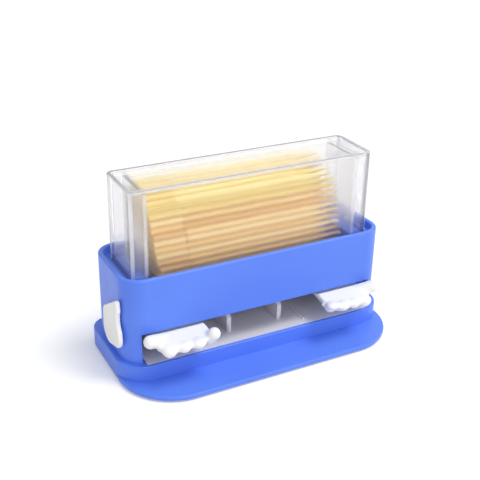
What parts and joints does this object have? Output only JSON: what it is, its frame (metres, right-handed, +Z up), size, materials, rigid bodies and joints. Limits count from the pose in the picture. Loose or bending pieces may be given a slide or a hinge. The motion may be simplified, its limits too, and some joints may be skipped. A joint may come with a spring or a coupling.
{
  "type": "toothpick dispenser",
  "caption": "Table-top pick dispenser: a clear lidded hopper on a blue housing feeds wooden picks down a ramp to open hands that dip when the side lever is pulled forward.",
  "frame": {"origin": "On the standing plane, under the middle of the base.", "axes": "+X to the right along the width, +Y to the back, +Z up; the slot, the hands and the apron face -Y."},
  "size_m": [0.095, 0.0464, 0.0613],
  "materials": {
    "blue_plastic": "satin moulded plastic",
    "white_plastic": "satin moulded plastic",
    "grey_plastic": "matt moulded plastic",
    "clear_plastic": "polished clear plastic",
    "bush_plastic": "matt moulded plastic",
    "steel": "bright drawn steel",
    "pad_rubber": "matt rubber",
    "pick_wood": "plain dry wood"
  },
  "bodies": {
    "dispenser": {"base": "blue_plastic", "housing": "blue_plastic", "chute": "blue_plastic", "tray": "grey_plastic", "hopper": "clear_plastic", "left_partition": "clear_plastic", "right_partition": "clear_plastic", "left_bush": "bush_plastic", "right_bush": "bush_plastic", "base_screws": "steel", "foot_pads": "pad_rubber", "picks": "pick_wood"},
    "hand_shaft": {"shaft": "steel", "left_hand": "white_plastic", "right_hand": "white_plastic", "hand_pins": "steel", "counterweight": "steel", "shaft_clip": "steel", "lever": "white_plastic"},
    "lid": {"lid": "clear_plastic"}
  },
  "joints": [
    {"name": "hand_tilt", "type": "hinge", "parent": "dispenser", "child": "hand_shaft", "pos_m": [0, 0.0021, 0.0156], "axis": [1, 0, 0], "range_deg": [0, 14]},
    {"name": "lid_lift", "type": "slide", "parent": "dispenser", "child": "lid", "axis": [0, 0, 1], "range_m": [0, 0.03]}
  ]
}
